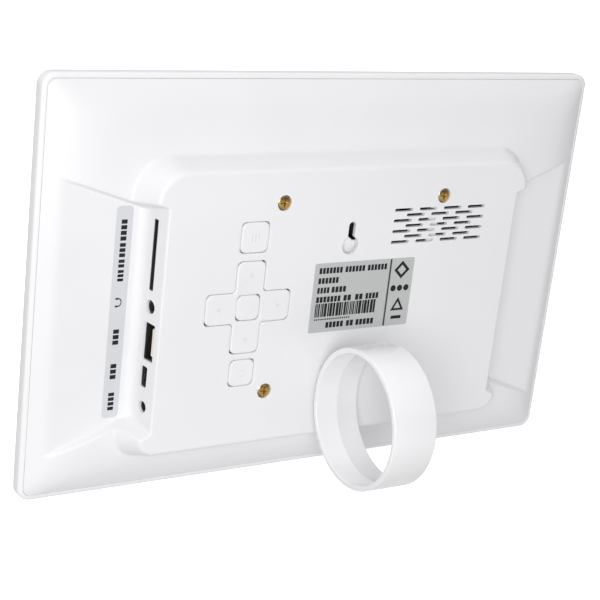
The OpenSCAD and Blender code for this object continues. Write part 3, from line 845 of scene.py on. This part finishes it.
def build_arrow_key():
    """Cross with a window for the middle key, on a square web with a stem under each arm."""
    low, high = span("arrow_key")
    levels = [(-KEY_GAP, 21.6)] + soft_edge(-KEY_GAP, high[1], KEY_SOFT)
    cross = solid("arrow_cap", prism(lambda grow: cross_ring(grow, KEY_ROUND), levels), 40)
    window = prism(lambda grow: square_ring(OK, OK_HOLE, grow), [(0, 20)] + rounded_rim(high[1], 0.3))
    cut(cross, [window], 40)
    finish_piece(cross, "arrow_key", key_white)
    web_half = 12
    inner = plate(*OK, web_half, web_half, 1.5, 21.15, 21.75)
    stems = [disc(OK[0] + dx, OK[1] + dv, [(STEM_R, low[1]), (STEM_R, 21.3)], 24)
             for dx, dv in ((STEM_OUT, 0), (-STEM_OUT, 0), (0, STEM_OUT), (0, -STEM_OUT))]
    web = solid("arrow_web", merge(inner, *stems), 40)
    cut(web, [plate(*OK, OK_HOLE / 2, OK_HOLE / 2, HOLE_ROUND, 20, 23)], 40)
    finish_piece(web, "arrow_key", key_white, ["arrow_key"])


def build_keys():
    square_key("menu_cap", MENU, MENU_HOLE, "menu_key", "menu_key")
    square_key("exit_cap", EXIT, EXIT_HOLE, "exit_key", "exit_key")
    build_middle_key()
    build_arrow_key()


# ---------------------------------------------------------------------------
# Screws
# ---------------------------------------------------------------------------


def build_screws():
    """Domed heads with a cross recess, on shanks that reach down to the standoffs."""
    head_r, shank_r, collar = 3.0, 1.45, 0.9
    dome_r, head_high = 1.9, 1.88
    arm, thin = 1.75, 0.42
    for index, (x, v) in enumerate(SCREW_PLACES):
        top = SCREW_SEAT + collar
        crown = [(shank_r, 13.0), (shank_r, SCREW_SEAT), (head_r, SCREW_SEAT), (head_r, top)]
        for step in range(1, 7):
            a = math.radians(15 * step)
            crown.append((head_r - dome_r * (1 - math.cos(a)), top + collar * math.sin(a)))
        crown.append((0.02, SCREW_SEAT + head_high))
        screw = solid(f"case_screw_{index + 1}", disc(x, v, crown), 35)
        cut(screw, [plate(x, v, half_x, half_v, 0.25, SCREW_SEAT + 0.7, SCREW_SEAT + 2.4, steps=3)
                    for half_x, half_v in ((arm, thin), (thin, arm))], 35)
        finish_piece(screw, "frame", brass, ["case_screws"] if index == 0 else [])


# ---------------------------------------------------------------------------
# Printed labels: plain blocks stand where the object has words and marks
# ---------------------------------------------------------------------------

# Ink lies from just under the face it is printed on to just over it
INK_LOW, INK_HIGH = -0.02, 0.03


def print_parts(name, parts, material=print_ink):
    finish_piece(solid(name, merge(*parts)), "frame", material)


def block(ground, x, v, half_x, half_v, radius=0.12, steps=2):
    return plate(x, v, half_x, half_v, radius, ground + INK_LOW, ground + INK_HIGH, steps=steps)


def word(start, length, letter, gap):
    """Centres and half lengths of the blocks that stand for one word's letters."""
    count = max(1, round((length + gap) / (letter + gap)))
    pitch = (length + gap) / count
    return [(start + pitch * (i + 0.5) - gap / 2, (pitch - gap) / 2) for i in range(count)]


def label_lines(left, base):
    """Blocks for the label's lines: height on the label, thickness, each word's place and length."""
    lines = [
        (26.6, 2.5, [(2.2, 11.2), (14.9, 9.6), (26.0, 9.6)]),
        (22.3, 2.5, [(2.2, 9.8)]),
        (18.2, 2.5, [(2.2, 5.8), (9.2, 7.0)]),
        (14.2, 2.5, [(2.2, 11.8), (15.6, 3.6), (21.4, 3.6), (26.6, 6.4)]),
        (3.0, 2.5, [(8.2, 8.6), (18.4, 3.4), (23.2, 8.8)])]
    letters = [(height, thick, spans, 1.35, 0.42) for height, thick, spans in lines]
    letters.append((5.6, 0.6, [(2.2, 17.5)], 0.7, 0.35))
    return [(left - center, base + height, half, thick / 2)
            for height, thick, spans, letter, gap in letters
            for start, length in spans for center, half in word(start, length, letter, gap)]


def bar_pattern(left, base):
    """Bars of repeating widths that encode nothing."""
    widths, gaps = (0.55, 1.3, 0.4, 1.0, 0.7), (0.25, 0.5, 0.3)
    height, half_height = 9.6, 2.9
    bars, place = [], 2.2
    for bar in range(26):
        width = widths[(bar * 7 + bar // 3) % len(widths)]
        bars.append((left - place - width / 2, base + height, width / 2, half_height))
        place += width + gaps[bar * 5 % len(gaps)]
    return bars


def build_rating_label():
    """Blocks for the words, a bar pattern, a divider and four plain marks."""
    low, high = span("rating_label")
    left, base, top = high[0], low[2], high[1]
    mark_x, divider_x = left - 43.6, left - 37.6
    blocks = label_lines(left, base) + bar_pattern(left, base)
    print_parts("rating_print", [block(top, *place) for place in blocks])
    divider = block(top, divider_x, (low[2] + high[2]) / 2, 0.42, (high[2] - low[2]) / 2 - 0.2)
    print_parts("rating_divider", [divider], print_gray)

    def hollow(height, angles, outer, inner):
        """Outline of a polygon whose corners lie at angles in degrees."""
        levels = [(inner, INK_LOW), (outer, INK_LOW), (outer, INK_HIGH), (inner, INK_HIGH)]
        return rings_mesh([[(mark_x + r * math.cos(math.radians(a)), top + n,
                             base + height + r * math.sin(math.radians(a))) for a in angles]
                           for r, n in levels], closed=True)

    marks = [hollow(24.6, (0, 90, 180, 270), 3.9, 2.2)]
    marks += [disc(mark_x + shift, base + 16.6, [(1.35, top + INK_LOW), (1.35, top + INK_HIGH)], 24)
              for shift in (-3.3, 0, 3.3)]
    marks.append(hollow(8.6, (90, 210, 330), 3.9, 2.0))
    marks.append(block(top, mark_x, base + 3.6, 2.6, 0.7, 0.1))
    print_parts("rating_marks", marks)


def build_port_label():
    """Blocks for the words beside each port, and an arc with two pads beside the headphone hole."""
    low, high = span("port_label")
    center, top = (low[0] + high[0]) / 2, high[1]
    # Each word's place up the label and its length
    words = ((90.0, 4.6), (95.6, 3.2), (99.8, 5.6), (106.4, 8.4), (64.0, 6.3), (49.6, 6.3), (36.4, 7.4))
    letters = [letter for start, length in words for letter in word(start, length, 1.45, 0.55)]
    print_parts("port_print", [block(top, center, v, 1.25, half) for v, half in letters])
    phone_v = middle("headphone_jack")[2]
    turns = [math.radians(-90 + 15 * step) for step in range(13)]
    levels = [(1.0, INK_LOW), (1.35, INK_LOW), (1.35, INK_HIGH), (1.0, INK_HIGH)]
    band = [[(center + 0.2 - 1.15 * math.cos(a) * k, top + n, phone_v + 1.35 * math.sin(a) * k)
             for k, n in levels] for a in turns]
    pads = [block(top, center + 0.75, phone_v + side * 1.55, 0.65, 0.38, 0.3, 3) for side in (-1, 1)]
    print_parts("phone_mark", [rings_mesh(band), *pads])


def build_key_marks():
    """Faint raised signs on the keys."""
    low, high = KEY_TOP - 0.05, KEY_TOP + 0.05
    arm, size = 13.6, 1.5

    def arrow(turn):
        """Triangle on one arm of the four-way key, pointing along it."""
        x, v = OK[0] + arm * math.cos(turn), OK[1] + arm * math.sin(turn)
        ring = [(x + size * math.cos(turn + math.radians(a)), v + size * math.sin(turn + math.radians(a)))
                for a in (0, 130, 230)]
        return rings_mesh([at_depth(ring, low), at_depth(ring, high)])

    arrows = [arrow(math.radians(turn)) for turn in (90, 270, 0, 180)]
    finish_piece(solid("arrow_signs", merge(*arrows)), "arrow_key", key_sign)
    bars = [plate(MENU[0] + shift, MENU[1], 0.28, 1.7, 0.2, low, high, steps=3) for shift in (-1.5, 0, 1.5)]
    finish_piece(solid("menu_sign", merge(*bars)), "menu_key", key_sign)
    inner, outer, steps = 1.3, 1.65, 32
    ring = [[(EXIT[0] + r * math.cos(a), n, EXIT[1] + r * math.sin(a))
             for r, n in ((inner, low), (outer, low), (outer, high), (inner, high))]
            for a in (2 * math.pi * i / steps for i in range(steps))]
    finish_piece(solid("exit_sign", rings_mesh(ring, closed=True)), "exit_key", key_sign)


def build_contacts():
    """Contact strips and the end of the tongue in the full-size socket."""
    low, high = span("usb_tongue")
    mid_n, mid_v = (low[1] + high[1]) / 2, (low[2] + high[2]) / 2
    strips = [sideways(plate(low[1] - 0.02, mid_v + shift, 0.06, 0.55, 0.03,
                             low[0] + 1, high[0] - 0.5, steps=2))
              for shift in (-3.5, -1.1, 1.1, 3.5)]
    finish_piece(solid("usb_contacts", merge(*strips)), "frame", gilt)
    tip = sideways(plate(mid_n, mid_v, (high[1] - low[1]) / 2, (high[2] - low[2]) / 2, 0.3,
                         high[0] - 0.5, wall_x(high[1]) - 0.9, steps=3))
    finish_piece(solid("usb_tongue_tip", tip), "frame", ivory)


build_cover()
build_port_shade()
build_bezel()
build_ring()
build_keys()
build_screws()
build_rating_label()
build_port_label()
build_key_marks()
build_contacts()

# ---------------------------------------------------------------------------
# Studio
# ---------------------------------------------------------------------------


def area_light(name, place, target, size, power):
    data = bpy.data.lights.new(name, "AREA")
    data.size = size
    data.energy = power
    light = bpy.data.objects.new(name, data)
    bpy.context.scene.collection.objects.link(light)
    light.location = place
    light.rotation_euler = (Vector(target) - Vector(place)).to_track_quat("-Z", "Y").to_euler()
    return light


def sweep():
    """White floor that curves up into a wall all round, lit by itself."""
    count = 64
    flat, bend, top = 3.0, 2.0, 6.0
    profile = [(flat + bend * math.sin(math.radians(a)), bend * (1 - math.cos(math.radians(a))))
               for a in range(0, 91, 10)]
    profile.append((flat + bend, top))
    points = [(r * math.cos(2 * math.pi * i / count), r * math.sin(2 * math.pi * i / count), z)
              for r, z in profile for i in range(count)]
    faces = []
    for row in range(0, (len(profile) - 1) * count, count):
        for i in range(count):
            after = (i + 1) % count
            faces.append((row + i, row + after, row + count + after, row + count + i))
    faces.append(tuple(range(count - 1, -1, -1)))
    mesh = bpy.data.meshes.new("sweep")
    mesh.from_pydata(points, [], faces)
    mesh.flip_normals()
    material = shader("sweep_white", (0.9, 0.9, 0.9), 0.95, specular=0.0)
    base = material.node_tree.nodes["Principled BSDF"]
    base.inputs["Emission Color"].default_value = (1, 1, 1, 1)
    base.inputs["Emission Strength"].default_value = SWEEP_GLOW
    mesh.materials.append(material)
    obj = bpy.data.objects.new("sweep", mesh)
    bpy.context.scene.collection.objects.link(obj)
    obj.visible_diffuse = False
    obj.visible_glossy = False
    obj.visible_transmission = False
    obj.visible_shadow = False


SWEEP_GLOW = 0.7
SKY_STRENGTH = 1.3
SKY_LEVELS = [(-1, 0.36), (-0.5, 0.68), (0, 0), (1, 0.98)]


def build_world():
    """Soft white surround: brightness by height, from straight down (-1) to straight up (1)."""
    world = bpy.data.worlds.new("world")
    bpy.context.scene.world = world
    world.use_nodes = True
    tree = world.node_tree
    nodes, links = tree.nodes, tree.links
    place = nodes.new("ShaderNodeTexCoord").outputs["Generated"]
    split = nodes.new("ShaderNodeSeparateXYZ")
    links.new(place, split.inputs["Vector"])
    height = nodes.new("ShaderNodeMapRange")
    height.inputs["From Min"].default_value = -1
    links.new(split.outputs["Z"], height.inputs["Value"])
    ramp = nodes.new("ShaderNodeValToRGB")
    stops = ramp.color_ramp.elements
    for index, (place_z, level) in enumerate(SKY_LEVELS):
        stop = stops[index] if index < len(stops) else stops.new(1)
        stop.position = (place_z + 1) / 2
        stop.color = (level, level, level, 1)
    links.new(height.outputs["Result"], ramp.inputs["Fac"])
    links.new(ramp.outputs["Color"], nodes["Background"].inputs["Color"])
    nodes["Background"].inputs["Strength"].default_value = SKY_STRENGTH


def build_studio():
    sweep()
    build_world()
    target = (0, 0, 0.08)
    area_light("key_light", (0.5, 0.75, 0.1), target, 0.5, 5.1)
    front = area_light("front_light", (0.3, -0.9, 0.3), target, 0.6, 3.5)
    front.visible_glossy = False
    view = bpy.context.scene.view_settings
    view.view_transform = "Standard"
    view.look = "None"


build_studio()
